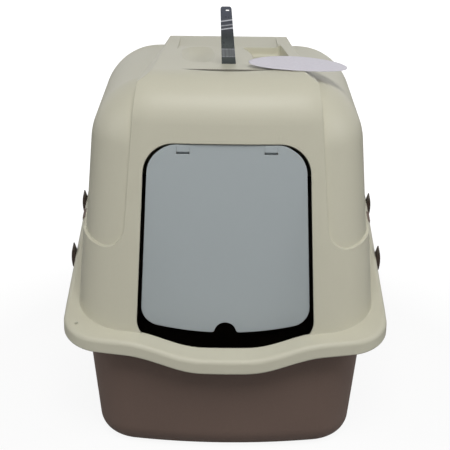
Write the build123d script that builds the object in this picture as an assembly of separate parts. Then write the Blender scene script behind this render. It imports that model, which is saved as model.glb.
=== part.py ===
"""Hooded litter box: a brown pan, a cream clip-on hood with a hand grip, a swing door,
four side clips, an odour filter in a drop-down tray and a lift strap.

Millimetres. +Z is up, the entry faces -Y, and the origin is at the bottom centre.
"""
import os
from math import cos, hypot, radians, sin, tan

from build123d import *

os.makedirs("parts", exist_ok=True)

# ---------------------------------------------------------------- driving dimensions
LENGTH = 510.0                # flange of the hood, front to back
FLANGE_FRONT_HALF = 192.0     # half width of the flange at its front corners
FLANGE_REAR_HALF = 205.5      # the sides flare towards the back
FLANGE_CORNER = 50.0
FRONT_BOW = 20.0              # the front edge bows forward in the middle

RIM_HEIGHT = 196.0            # top of the flange at mid length
RIM_PITCH = 7.5               # degrees that the rim climbs to the back
RIM_FRONT_DROP = 13.5         # extra fall of the rim towards the front edge
RIM_BLEND = 80.0              # from the front edge to where that fall begins
RIM_BLEND_SHARE = 0.33        # of it reached half way
RIM_DIP = 17.0                # S-shaped dip in the middle of the front
DIP_FLAT_HALF = 24.0          # half width of the bottom of the dip
DIP_END_HALF = 119.0          # where the dip has run out

WALL = 3.0                    # moulded wall of the hood and of the pan
FLANGE_THICK = 3.5
FLANGE_ROUND = 6.0            # rounding of the flange's outer top edge
SKIRT_HEIGHT = 16.0
SKIRT_THICK = 3.0
SEAT_GAP = 0.4                # between the hood's flange and the pan's rim
RIM_THICK = 3.0               # rim plate of the pan
RIM_LIP = 8.0                 # turned-down edge of the rim plate

PAN_FRONT_INSET = 38.0        # from the flange's edge to the pan's floor, before its rounding
PAN_REAR_INSET = 48.0
PAN_FRONT_SIDE = 41.0
PAN_REAR_SIDE = 40.5
PAN_DRAFT = 6.0               # degrees
PAN_CORNER = 50.0
PAN_FLOOR_ROUND = 28.0

HOOD_FRONT_INSET = 22.0       # from the flange's edge to the hood's body, at HOOD_FOOT
HOOD_REAR_INSET = 24.0
HOOD_FRONT_SIDE = 15.5
HOOD_REAR_SIDE = 14.5
HOOD_FOOT = 165.0
HOOD_CORNER_FOOT = 62.0
HOOD_CORNER_TOP = 90.0
HOOD_BOW = 12.0
SIDE_DRAFT = 3.8              # degrees
END_DRAFT = 5.1
ROOF_HEIGHT = 450.0           # top of the roof's saddle at mid length
ROOF_PITCH = 2.5              # degrees that the roof falls to the back
ROOF_ROUND = 56.0             # rounding between the front face and the saddle
SHOULDER_ROUND = 78.0
RELIEF = 3.5                  # the saddle and the belt stand this proud of the body
SADDLE_RISE = 10.0            # and the saddle this much on the roof
SADDLE_TOP_HALF = 84.5        # half width of its flat top at mid length
SADDLE_TOP_TAPER = 0.020      # and how fast that narrows to the back
SADDLE_KNEE_HALF = 95.5       # foot of the sloping facet beside the flat top
SADDLE_KNEE_TAPER = 0.0464
SADDLE_KNEE_DROP = 10.5
SADDLE_FOOT_HALF = 113.4      # where the saddle meets the belt
SADDLE_FOOT_TAPER = 0.020
BELT_HEIGHT = 258.0           # top of the proud belt at the front corners
BELT_CLIMB = 9.0              # degrees that it climbs along the sides
BELT_ROUND = 28.0             # concave corner between belt and saddle

ENTRY_TOP = 384.0
ENTRY_BOTTOM = 140.0
ENTRY_TOP_HALF = 94.5
ENTRY_FOOT_HALF = 104.5
ENTRY_BOTTOM_RISE = 14.0      # the bottom edge of the entry rises to its corners
ENTRY_TOP_ROUND = 36.0
ENTRY_FOOT_ROUND = 26.0

DOOR_GAP_SIDE = 4.5
DOOR_GAP_TOP = 3.0
DOOR_GAP_FOOT = 13.0
DOOR_THICK = 2.5
NOTCH_RADIUS = 13.0           # finger notch in the foot of the door
HINGE_HEIGHT = 374.0
HINGE_PIN_RADIUS = 2.0
HINGE_FIT = 0.2
HOOK_WALL = 2.0
HOOK_WIDTH = 13.0
HOOK_PLACE = 50.0             # left and right of the middle
HOOK_END_GAP = 0.6
SLOT_HEIGHT = 3.0
PAD_PROUD = 0.6
BRACKET_THICK = 3.0
BRACKET_ARM = 4.0             # width of the arms behind the door
BRACKET_GAP = 0.7

WELL_REAR = 76.0              # finger pocket right of the grip
WELL_FRONT = -62.0
WELL_BEND = -15.0             # its left wall bows to the left behind this place
WELL_LEFT = 31.0
WELL_LEFT_BOW = 26.0
WELL_LEFT_REAR = 17.0
WELL_RIGHT = 78.0             # at its front
WELL_RIGHT_REAR = 69.5
WELL_DEPTH = 17.5
WELL_CORNER = 9.0
WELL_ROUND = 6.0
DISH_PLACE = (-36.5, -2.0)    # long smooth dish for the thumb, left of the grip
DISH_HALF_WIDTH = 22.5
DISH_HALF_LENGTH = 87.0
DISH_DEPTH = 13.0
PANEL_LEFT = -20.0            # floor of the sunken panel of the roof round the grip
PANEL_RIGHT = 63.0
PANEL_FRONT = -97.0
PANEL_REAR = 84.0
PANEL_DEPTH = 4.0
PANEL_CORNER = 12.0
PANEL_SLOPE = 7.0             # width of its sloping sides
PANEL_SLOPE_LEFT = 26.0
RAMP_HALF = 66.0              # ramp from the panel up to the back of the roof
RAMP_FRONT = 20.0
RAMP_REAR = 150.0

VENT_SETBACK = 108.0          # from the flange's front edge to the crescent vent in the roof
VENT_HALF = 54.0
VENT_DEPTH = 13.0

TRAY_HALF = 64.0              # filter tray
TRAY_FRONT_SETBACK = 81.0     # from the flange's front edge
TRAY_REAR_SETBACK = 147.0
TRAY_TOP = 11.0               # below the saddle of the roof
TRAY_HEIGHT = 12.0
TRAY_WALL = 2.0
TRAY_SLOT = 3.0
TRAY_PITCH = 9.0
TRAY_PIN_RADIUS = 2.0
TRAY_FIT = 0.2
LUG_THICK = 3.0
LUG_RADIUS = 4.8
LUG_GAP = 0.5
FILTER_THICK = 8.0

STRAP_SETBACK = 163.0         # from the flange's front edge
STRAP_SLOT_HALF = 20.0
STRAP_SLOT_WIDTH = 5.0
STRAP_FOOT_WIDTH = 16.4
STRAP_TIP_WIDTH = 12.0
STRAP_LENGTH = 70.0
STRAP_THICK = 2.2
STRAP_MIDDLE = 1.4            # the strap stands a little right of the middle
STRAP_LEAN = 3.6              # and leans to the left
STRAP_HOLE = (4.0, 1.8)
STRAP_HOLE_DROP = 4.5
ANCHOR_OVERLAP = 4.0          # the toggle is this much longer than the slot at each end
ANCHOR_DEPTH = 12.0
ANCHOR_HEIGHT = 3.0
ANCHOR_NECK = (14.0, 2.2)
LAY_GAP = 0.3                 # between pieces that lie on each other

TAG_LENGTH = 116.0
TAG_WIDTH = 62.0
TAG_THICK = 0.8
TAG_TILT = 7.0
TAG_ROLL = 2.7                # its right end hangs lower, past the saddle's edge
TAG_PIVOT = 84.0
TAG_MIDDLE = 82.0
TAG_SETBACK = 99.0            # from the flange's front edge to the card's front

CLIP_PLACES = {"front": -28.0, "rear": 140.0}
CLIP_WIDTH = 20.0
CLIP_GAP = 0.4
CLIP_BULGE = 5.6              # outermost point of the clip, from the side of the flange
CLIP_TIP = (4.6, 3.0)         # finger tip, above and outside the flange's top edge
CLIP_TIP_THICK = 1.4
CLIP_WINDOW = (-11.0, -6.8)   # height of the window in the skirt, from the flange's top
CLIP_TOOTH_REACH = 2.6        # the tooth's depth in that window
CLIP_TOOTH_WIDTH = 12.0
CLIP_TOOTH_SLOPE = 1.0
CLIP_PIVOT_OUT = 1.6
CLIP_PIVOT_DROP = 20.2        # pivot below the top of the flange
CLIP_PIN_RADIUS = 1.7
CLIP_PIN_FIT = 0.15
CLIP_EYE_WALL = 1.4
EAR_THICK = 7.0               # middle ear of the pan, with a pin each side
EAR_WALL = 1.3
EAR_GAP = 0.5
EAR_SINK = 0.5                # the ear starts this far inside the lip of the rim plate
KEY_PLACE = 80.0              # locating keys of the pan in notches of the hood's flange
KEY_LENGTH = 30.0
KEY_DEPTH = 10.0
KEY_GAP = 0.5
DRAIN_RADIUS = 2.0            # drain hole in the left front corner of the flange
DRAIN_INSET = (16.0, 41.0)

HALF_LENGTH = LENGTH / 2
BIG = 700.0                   # cutters reach past everything
PAN_FRONT = HALF_LENGTH - PAN_FRONT_INSET
PAN_REAR = HALF_LENGTH - PAN_REAR_INSET
PAN_FRONT_HALF = FLANGE_FRONT_HALF - PAN_FRONT_SIDE
PAN_REAR_HALF = FLANGE_REAR_HALF - PAN_REAR_SIDE
HOOD_FRONT = HALF_LENGTH - HOOD_FRONT_INSET
HOOD_REAR = HALF_LENGTH - HOOD_REAR_INSET
HOOD_FRONT_HALF = FLANGE_FRONT_HALF - HOOD_FRONT_SIDE
HOOD_REAR_HALF = FLANGE_REAR_HALF - HOOD_REAR_SIDE
VENT_REAR = VENT_SETBACK - HALF_LENGTH
TRAY_FRONT = TRAY_FRONT_SETBACK - HALF_LENGTH
TRAY_REAR = TRAY_REAR_SETBACK - HALF_LENGTH
STRAP_PLACE = STRAP_SETBACK - HALF_LENGTH
TAG_FRONT = TAG_SETBACK - HALF_LENGTH


# ---------------------------------------------------------------- shared forms
def plan(front, rear, front_half, rear_half, corner, bow, height=0.0):
    """Closed outline of a pan, flange or hood seen from above: the sides flare to the back."""
    left = (-front_half, -front + bow)
    right = (front_half, -front + bow)
    outline = Polyline(right, (rear_half, rear), (-rear_half, rear), left)
    outline += ThreePointArc(left, (0, -front), right)
    face = make_face(outline)
    face = fillet(face.vertices(), corner)
    return Pos(0, 0, height) * face


def flange_plan(inset=0.0):
    return plan(HALF_LENGTH - inset, HALF_LENGTH - inset, FLANGE_FRONT_HALF - inset,
                FLANGE_REAR_HALF - inset, FLANGE_CORNER - inset, FRONT_BOW)


def flange_half(y):
    """Half width of the hood's flange at a place along the side."""
    flare = (FLANGE_REAR_HALF - FLANGE_FRONT_HALF) / (LENGTH - FRONT_BOW)
    return FLANGE_REAR_HALF - (HALF_LENGTH - y) * flare


def rim_height(y):
    """Top of the flange along the sides and the back."""
    return RIM_HEIGHT + y * tan(radians(RIM_PITCH))


def rim_section(y, drop, dip):
    """Cross-section, at one place along the box, of everything below the rim."""
    top = rim_height(y) - drop
    low = top - dip
    outline = Line((-BIG / 2, top), (-DIP_END_HALF, top))
    outline += Spline((-DIP_END_HALF, top), (-DIP_FLAT_HALF, low), tangents=((1, 0), (1, 0)))
    outline += Line((-DIP_FLAT_HALF, low), (DIP_FLAT_HALF, low))
    outline += Spline((DIP_FLAT_HALF, low), (DIP_END_HALF, top), tangents=((1, 0), (1, 0)))
    outline += Polyline((DIP_END_HALF, top), (BIG / 2, top), (BIG / 2, -BIG / 2),
                        (-BIG / 2, -BIG / 2), (-BIG / 2, top))
    return Pos(0, y, 0) * Plane.XZ.location * make_face(outline)


def build_below_rim():
    """Everything below the rim: it climbs evenly to the back, and falls and dips at the front."""
    front = -HALF_LENGTH - 15
    blend = RIM_BLEND - HALF_LENGTH
    middle = (front + blend) / 2
    bottom = loft([rim_section(front, RIM_FRONT_DROP, RIM_DIP),
                   rim_section(middle, RIM_FRONT_DROP * RIM_BLEND_SHARE, RIM_DIP),
                   rim_section(blend, 0.0, RIM_DIP)])
    rear = loft([rim_section(blend, 0.0, RIM_DIP), rim_section(0.0, 0.0, 0.0),
                 rim_section(HALF_LENGTH + 15, 0.0, 0.0)], ruled=True)
    return bottom + rear


BELOW_RIM = build_below_rim()


def below_rim(shift):
    return Pos(0, 0, shift) * BELOW_RIM


def pan_form(inset, top):
    """The pan's tapered bowl, rounded at its floor."""
    out = top * tan(radians(PAN_DRAFT))
    base = plan(PAN_FRONT - inset, PAN_REAR - inset, PAN_FRONT_HALF - inset,
                PAN_REAR_HALF - inset, PAN_CORNER - inset, FRONT_BOW, inset)
    mouth = plan(PAN_FRONT - inset + out, PAN_REAR - inset + out, PAN_FRONT_HALF - inset + out,
                 PAN_REAR_HALF - inset + out, PAN_CORNER - inset + out, FRONT_BOW, top)
    bowl = loft([base, mouth], ruled=True)
    floor_edges = bowl.edges().group_by(Axis.Z)[0]
    return fillet(floor_edges, PAN_FLOOR_ROUND - inset)


def hood_form(inset, roof_drop, edge_round):
    """The hood's drafted body under a roof that falls to the back, rounded all round the top."""
    low = 100.0
    high = ROOF_HEIGHT + 60.0
    faces = []
    for height, corner in ((low, HOOD_CORNER_FOOT), (high, HOOD_CORNER_TOP)):
        side = (height - HOOD_FOOT) * tan(radians(SIDE_DRAFT)) + inset
        end = (height - HOOD_FOOT) * tan(radians(END_DRAFT)) + inset
        faces.append(plan(HOOD_FRONT - end, HOOD_REAR - end, HOOD_FRONT_HALF - side,
                          HOOD_REAR_HALF - side, corner - inset, HOOD_BOW, height))
    body = loft(faces, ruled=True)
    roof = Plane(origin=(0, 0, ROOF_HEIGHT - roof_drop), z_dir=(0, sin(radians(ROOF_PITCH)),
                                                                cos(radians(ROOF_PITCH))))
    body = split(body, bisect_by=roof, keep=Keep.BOTTOM)
    rim = body.faces().sort_by(Axis.Z)[-1]
    return fillet(rim.edges(), edge_round)


def saddle_section(y, inset):
    """Cross-section of the saddle and the belt's concave corner, at one place along the box."""
    roof = roof_point(y)
    top = SADDLE_TOP_HALF - y * SADDLE_TOP_TAPER
    knee = SADDLE_KNEE_HALF - y * SADDLE_KNEE_TAPER
    foot = SADDLE_FOOT_HALF - y * SADDLE_FOOT_TAPER
    centre = BELT_HEIGHT + BELT_ROUND
    half = [(top - 0.4 * inset, roof + 40), (top - 0.4 * inset, roof - inset),
            (knee - inset, roof - SADDLE_KNEE_DROP - 0.45 * inset), (foot - inset, centre)]
    outline = Polyline(*[(-x, z) for x, z in reversed(half)], *half)
    side = foot + BELT_ROUND
    reach = BELT_ROUND + inset
    middle = (side - reach * cos(radians(45)), centre - reach * sin(radians(45)))
    arc_end = (side, BELT_HEIGHT - inset)
    outline += ThreePointArc(half[-1], middle, arc_end)
    outline += ThreePointArc((-half[-1][0], centre), (-middle[0], middle[1]),
                             (-arc_end[0], arc_end[1]))
    outline += Polyline(arc_end, (BIG / 2, arc_end[1]), (BIG / 2, 0), (-BIG / 2, 0),
                        (-BIG / 2, arc_end[1]), (-arc_end[0], arc_end[1]))
    return Pos(0, y, 0) * Plane.XZ.location * make_face(outline)


def proud_zone(inset):
    """Where the hood stands proud: the saddle over front, roof and back, and the belt."""
    saddle = loft([saddle_section(-BIG / 2, inset), saddle_section(BIG / 2, inset)], ruled=True)
    corner = -HOOD_FRONT + HOOD_CORNER_FOOT / 2
    climb = (BIG / 2 - corner) * tan(radians(BELT_CLIMB))
    top = BELT_HEIGHT - inset
    side_view = Polyline((-BIG / 2, top), (corner, top), (BIG / 2, top + climb), (BIG / 2, 0),
                         (-BIG / 2, 0), close=True)
    belt = extrude(Plane.YZ.location * make_face(side_view), BIG / 2, both=True)
    return saddle + belt


def hood_skin(inset):
    """Outer (inset 0) or inner skin of the hood, with its saddle and its belt."""
    body = hood_form(RELIEF + inset, SADDLE_RISE + inset, SHOULDER_ROUND - inset)
    proud = hood_form(inset, inset, ROOF_ROUND - inset)
    return body + (proud & proud_zone(inset))


ROOF = Plane(origin=(0, 0, ROOF_HEIGHT), x_dir=(1, 0, 0),
             z_dir=(0, sin(radians(ROOF_PITCH)), cos(radians(ROOF_PITCH))))


def roof_point(y, drop=0.0):
    """Height of the roof's saddle, less a drop."""
    return ROOF_HEIGHT - y * tan(radians(ROOF_PITCH)) - drop


def panel_cut(grow):
    """Sunken panel round the grip: its left side slopes gently into the dish."""
    above = 20.0
    rise = (above + PANEL_DEPTH) / PANEL_DEPTH
    middle = (PANEL_RIGHT + PANEL_LEFT) / 2
    across = (PANEL_REAR + PANEL_FRONT) / 2
    wide = PANEL_RIGHT - PANEL_LEFT + 2 * grow
    long = PANEL_REAR - PANEL_FRONT + 2 * grow
    low = Pos(middle, across, -PANEL_DEPTH - grow) * RectangleRounded(wide, long, PANEL_CORNER)
    spread = (PANEL_SLOPE + PANEL_SLOPE_LEFT) * rise
    shift = (PANEL_SLOPE - PANEL_SLOPE_LEFT) * rise / 2
    high = RectangleRounded(wide + spread, long + 2 * PANEL_SLOPE * rise, PANEL_CORNER + spread / 4)
    high = Pos(middle + shift, across, above) * high
    return ROOF.location * loft([low, high], ruled=True)


def pocket_cut(grow):
    """Finger pocket right of the grip, with a bowed left wall."""
    above = 20.0
    outline = Polyline((WELL_LEFT, WELL_BEND), (WELL_LEFT, WELL_FRONT), (WELL_RIGHT, WELL_FRONT),
                       (WELL_RIGHT_REAR, WELL_REAR), (WELL_LEFT_REAR, WELL_REAR))
    outline += ThreePointArc((WELL_LEFT_REAR, WELL_REAR),
                             (WELL_LEFT_BOW, (WELL_REAR + WELL_BEND) / 2 + 7),
                             (WELL_LEFT, WELL_BEND))
    face = make_face(outline)
    ends = [v for v in face.vertices() if v.Y > WELL_REAR - 1 or v.Y < WELL_FRONT + 1]
    face = offset(fillet(ends, WELL_CORNER), grow) if grow else fillet(ends, WELL_CORNER)
    pocket = extrude(Pos(0, 0, -WELL_DEPTH - grow) * face, WELL_DEPTH + grow + above)
    pocket = fillet(pocket.edges().group_by(Axis.Z)[0], WELL_ROUND + grow)
    return ROOF.location * pocket


def dish_cut(grow):
    """Part of a ring: its cross-section and its length are both shallow arcs."""
    minor = (DISH_HALF_WIDTH ** 2 + DISH_DEPTH ** 2) / (2 * DISH_DEPTH)
    reach = (DISH_HALF_LENGTH ** 2 + DISH_DEPTH ** 2) / (2 * DISH_DEPTH)
    ring = Torus(reach - minor, minor + grow)
    centre = Pos(DISH_PLACE[0], DISH_PLACE[1], reach - DISH_DEPTH)
    return ROOF.location * centre * Rot(0, 90, 0) * ring


def ramp_cut(grow):
    """Shallow valley across the roof that ends in the ramp up to its back."""
    above = 20.0
    clear = 1.0 + 1.0 / PANEL_DEPTH
    front = PANEL_REAR - (PANEL_REAR - RAMP_FRONT) * clear
    rear = PANEL_REAR + (RAMP_REAR - PANEL_REAR) * clear
    profile = Polyline((front, 1.0 - grow), (PANEL_REAR, -PANEL_DEPTH - grow), (rear, 1.0 - grow),
                       (rear, above), (front, above), close=True)
    profile = ROOF.location * Plane.YZ.location * make_face(profile)
    return extrude(profile, RAMP_HALF + grow, both=True)


def roof_recesses(grow):
    """What is sunk into the roof, grown by a wall for the inside."""
    return [panel_cut(grow), ramp_cut(grow), pocket_cut(grow), dish_cut(grow)]


def entry_outline(side, top, foot):
    """Outline of the entry, drawn in by a gap at the sides, the top and the foot."""
    low = ENTRY_BOTTOM + foot
    corner = low + ENTRY_BOTTOM_RISE
    half_top = ENTRY_TOP_HALF - side
    half_foot = ENTRY_FOOT_HALF - side
    outline = Polyline((-half_foot, corner), (-half_top, ENTRY_TOP - top),
                       (half_top, ENTRY_TOP - top), (half_foot, corner))
    outline += ThreePointArc((half_foot, corner), (0, low), (-half_foot, corner))
    face = make_face(outline)
    upper = face.vertices().group_by(Axis.Y)[-1]
    face = fillet(upper, ENTRY_TOP_ROUND - top)
    lower = face.vertices().sort_by(Axis.Y)[:2]
    return fillet(lower, ENTRY_FOOT_ROUND - side / 2)


def upright(face, y):
    """Stand a face drawn in X and Z at a place along the box."""
    return Pos(0, y, 0) * Plane.XZ.location * face


def side_plane(y, side):
    """Section plane across the flange at a place along one side: x outward, y up,
    z towards the front, origin on the flange's outer top edge."""
    flare = (FLANGE_REAR_HALF - FLANGE_FRONT_HALF) / (LENGTH - FRONT_BOW)
    origin = (side * flange_half(y), y, rim_height(y))
    along = Vector(side * flare, 1.0, tan(radians(RIM_PITCH))).normalized()
    outward = Vector(side, -flare, 0).normalized()
    return Plane(origin=origin, x_dir=outward, z_dir=along * -side)


def across_side(face, y, side, width):
    """A section drawn outward and up, extruded along one side of the flange."""
    return side_plane(y, side).location * extrude(face, width / 2, both=True)


def prism_x(points, half, x=0.0):
    """A profile in Y and Z, extruded to both sides along X."""
    face = Plane.YZ.location * make_face(Polyline(*points, close=True))
    return Pos(x, 0, 0) * extrude(face, half, both=True)


DOOR_SETBACK = 7.0            # from the door's front face back to its hinge
HINGE_SETBACK = 9.5           # from the hood's front face back to the hinge
HINGE_Y = -(HOOD_FRONT - (ENTRY_TOP - HOOD_FOOT) * tan(radians(END_DRAFT))) + HINGE_SETBACK


def wall_middle(z):
    """Middle of the hood's front wall at a height."""
    return -(HOOD_FRONT - (z - HOOD_FOOT) * tan(radians(END_DRAFT))) + WALL / 2


def hinge_brackets():
    """Arms that reach round behind the top of the door, and the pins for the door's hooks."""
    sweep = hypot(DOOR_SETBACK, ENTRY_TOP - DOOR_GAP_TOP - HINGE_HEIGHT) + BRACKET_GAP
    root = HINGE_HEIGHT + sweep + BRACKET_GAP
    head = root + 2 * BRACKET_ARM
    inner = HINGE_Y + sweep
    back = inner + BRACKET_ARM
    profile = [(wall_middle(root), root), (wall_middle(head), head), (inner, head),
               (back, root), (back, HINGE_HEIGHT - BRACKET_ARM),
               (HINGE_Y, HINGE_HEIGHT - BRACKET_ARM), (HINGE_Y, HINGE_HEIGHT + HINGE_PIN_RADIUS),
               (inner, HINGE_HEIGHT + HINGE_PIN_RADIUS), (inner, root)]
    reach = HOOK_WIDTH / 2 + HOOK_END_GAP + BRACKET_THICK / 2
    pieces = []
    for place in (-HOOK_PLACE, HOOK_PLACE):
        pin = Pos(place, HINGE_Y, HINGE_HEIGHT) * Rot(0, 90, 0)
        for side in (-1, 1):
            pieces.append(prism_x(profile, BRACKET_THICK / 2, place + side * reach))
            pieces.append(pin * Pos(0, 0, side * reach) * Cylinder(BRACKET_ARM, BRACKET_THICK))
        pieces.append(pin * Cylinder(HINGE_PIN_RADIUS, 2 * reach))
    return pieces


TRAY_PIVOT_Y = TRAY_REAR - LUG_RADIUS
TRAY_PIVOT = TRAY_TOP + TRAY_HEIGHT / 2


def tray_lugs():
    """Two lugs under the roof that carry the pins of the filter tray."""
    lugs = []
    for side in (-1, 1):
        place = side * (TRAY_HALF + LUG_GAP + LUG_THICK / 2)
        eye = ROOF.location * Pos(place, TRAY_PIVOT_Y, -TRAY_PIVOT) * Rot(0, 90, 0)
        plate = ROOF.location * Pos(place, TRAY_PIVOT_Y, -(TRAY_PIVOT + WALL - 0.5) / 2)
        lug = eye * Cylinder(LUG_RADIUS, LUG_THICK)
        lug += plate * Box(LUG_THICK, 2 * LUG_RADIUS, TRAY_PIVOT - WALL + 0.5)
        lug -= eye * Cylinder(TRAY_PIN_RADIUS + TRAY_FIT, 3 * LUG_THICK)
        lugs.append(lug)
    return lugs


def vent_crescent():
    """Crescent vent: a straight rear edge and a bowed front edge."""
    outline = Line((-VENT_HALF, VENT_REAR), (VENT_HALF, VENT_REAR))
    outline += ThreePointArc((VENT_HALF, VENT_REAR), (0, VENT_REAR - VENT_DEPTH),
                             (-VENT_HALF, VENT_REAR))
    return ROOF.location * Pos(0, 0, -40) * extrude(make_face(outline), 60)


def key_box(side, inset, top, foot):
    """Block at the flange's edge where the pan's key stands in the hood's notch."""
    depth = KEY_DEPTH - inset
    section = Pos(-depth / 2, (top - foot) / 2 + foot) * Rectangle(depth, top - foot)
    return across_side(section, KEY_PLACE, side, KEY_LENGTH - 2 * inset)


def outer_top_edges(block):
    """Edges round the top of a block: each of them belongs to one upward face only."""
    found = {}
    for face in block.faces():
        if face.normal_at(face.center()).Z > 0.7:
            for edge in face.edges():
                found.setdefault(tuple(round(v, 2) for v in edge.center()), []).append(edge)
    return [edges[0] for edges in found.values() if len(edges) == 1]


def build_hood():
    outer = hood_skin(0.0)
    inner = hood_skin(WALL)
    for recess in roof_recesses(WALL):
        inner -= recess
    block = (extrude(flange_plan(), BIG / 2) & below_rim(0)) - below_rim(-SKIRT_HEIGHT)
    block = fillet(outer_top_edges(block), FLANGE_ROUND)
    seat = extrude(flange_plan(SKIRT_THICK), BIG / 2) & below_rim(-FLANGE_THICK)
    hood = (outer - below_rim(-FLANGE_THICK)) + (block - seat)
    hood -= inner
    for recess in roof_recesses(0.0):
        hood -= recess
    back = wall_middle(ENTRY_TOP) + 30
    entry = upright(entry_outline(0.0, 0.0, 0.0), back)
    hood -= extrude(entry, HOOD_FRONT + 3.0 + back, dir=(0, -1, 0)) - below_rim(0)
    hood -= vent_crescent()
    slot = ROOF.location * Pos(STRAP_MIDDLE, STRAP_PLACE, 0)
    hood -= slot * Box(2 * STRAP_SLOT_HALF, STRAP_SLOT_WIDTH, 30)
    drain = Pos(DRAIN_INSET[0] - FLANGE_FRONT_HALF, DRAIN_INSET[1] - HALF_LENGTH, RIM_HEIGHT)
    hood -= drain * Cylinder(DRAIN_RADIUS, 2 * RIM_HEIGHT / 3)
    for side in (-1, 1):
        hood -= key_box(side, 0.0, 4.0, -SKIRT_HEIGHT - 2.0)
        for y in CLIP_PLACES.values():
            hood -= clip_window(y, side)
    for piece in hinge_brackets() + tray_lugs():
        hood += piece
    return hood


def build_pan():
    drop = FLANGE_THICK + SEAT_GAP
    mouth = RIM_HEIGHT + 90.0
    outer = pan_form(0.0, mouth)
    inner = pan_form(WALL, mouth + 1.0)
    under = below_rim(-drop)
    edge = SKIRT_THICK + SEAT_GAP
    plate = (extrude(flange_plan(edge), BIG / 2) & under) - below_rim(-drop - RIM_THICK)
    lip = extrude(flange_plan(edge), BIG / 2) - extrude(flange_plan(edge + RIM_THICK), BIG / 2)
    lip = (lip & under) - below_rim(-drop - RIM_LIP)
    pan = (outer & under) + plate + lip
    pan -= inner
    for side in (-1, 1):
        key = key_box(side, KEY_GAP, -KEY_GAP, -SKIRT_HEIGHT + 1.0)
        hollow = KEY_DEPTH - SKIRT_THICK - SEAT_GAP - RIM_THICK
        inside = Pos(-KEY_DEPTH + hollow / 2, -SKIRT_HEIGHT) * Rectangle(hollow, 2 * SKIRT_HEIGHT - 8)
        pan += key - across_side(inside, KEY_PLACE, side, KEY_LENGTH - 2 * KEY_GAP - 4)
        for y in CLIP_PLACES.values():
            pan += clip_ear(y, side)
    return pan


def clip_ear(y, side):
    """Ear below the pan's rim, with a pin to each side that a clip turns on."""
    root = -SKIRT_THICK - SEAT_GAP - RIM_THICK + EAR_SINK
    pivot = (CLIP_PIVOT_OUT, -CLIP_PIVOT_DROP)
    wall = CLIP_PIN_RADIUS + EAR_WALL
    low = -SKIRT_HEIGHT - SEAT_GAP
    web = Polyline((root, -FLANGE_THICK - SEAT_GAP - RIM_THICK / 2), (-SKIRT_THICK - SEAT_GAP, -8),
                   (-SKIRT_THICK - SEAT_GAP, low), (pivot[0] - 1.0, low - 1.0),
                   (pivot[0] + wall - 0.5, pivot[1] + 1.5), pivot,
                   (pivot[0] - 1.0, pivot[1] - wall + 0.3), (root, -SKIRT_HEIGHT), close=True)
    ear = across_side(make_face(web), y, side, EAR_THICK)
    ear += across_side(Pos(*pivot) * Circle(wall), y, side, EAR_THICK)
    return ear + across_side(Pos(*pivot) * Circle(CLIP_PIN_RADIUS), y, side, CLIP_WIDTH - 2)


def clip_window(y, side):
    """Window in the skirt of the hood's flange that a clip's tooth snaps into."""
    low, high = CLIP_WINDOW
    opening = Pos(-SKIRT_THICK / 2, (low + high) / 2) * Rectangle(SKIRT_THICK + 1.0, high - low)
    return across_side(opening, y, side, CLIP_TOOTH_WIDTH + 2 * CLIP_GAP)


def clip_section():
    """A clip seen along the flange: an eye below, a leaf up the skirt and a finger tip."""
    pivot = (CLIP_PIVOT_OUT, -CLIP_PIVOT_DROP)
    eye = CLIP_PIN_RADIUS + CLIP_PIN_FIT + CLIP_EYE_WALL
    foot = (pivot[0] + eye, pivot[1])
    outline = Polyline(foot, pivot, (CLIP_GAP, -SKIRT_HEIGHT), (CLIP_GAP, -FLANGE_ROUND),
                       (CLIP_TIP[0] - CLIP_TIP_THICK, CLIP_TIP[1]), CLIP_TIP)
    outline += ThreePointArc(CLIP_TIP, (CLIP_BULGE, CLIP_TIP[1] / 2 - FLANGE_ROUND), foot)
    face = make_face(outline) + Pos(*pivot) * Circle(eye)
    face -= Pos(*pivot) * Circle(CLIP_PIN_RADIUS + CLIP_PIN_FIT)
    mouth = Pos(*pivot) * Rot(0, 0, -135) * Pos(eye, 0) * Rectangle(2 * eye, 1.6 * CLIP_PIN_RADIUS)
    return face - mouth


def clip_tooth():
    """Section of the tooth: flat below, where it holds the skirt down, and sloping on top."""
    low = CLIP_WINDOW[0] + CLIP_GAP
    root = CLIP_WINDOW[1] - 2 * CLIP_GAP
    return make_face(Polyline((CLIP_GAP + 1.0, low), (-CLIP_TOOTH_REACH, low),
                              (-CLIP_TOOTH_REACH, root - CLIP_TOOTH_SLOPE),
                              (CLIP_GAP + 1.0, root), close=True))


def build_clip(y, side):
    clip = across_side(clip_section(), y, side, CLIP_WIDTH)
    clip += across_side(clip_tooth(), y, side, CLIP_TOOTH_WIDTH)
    right = CLIP_PIVOT_OUT + CLIP_PIN_RADIUS + EAR_WALL + EAR_GAP
    top = -SKIRT_HEIGHT + EAR_GAP
    slot = Pos(right, top) * Rectangle(2 * CLIP_PIVOT_DROP, CLIP_PIVOT_DROP,
                                       align=(Align.MAX, Align.MAX))
    return clip - across_side(slot, y, side, EAR_THICK + 2 * EAR_GAP)


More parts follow.
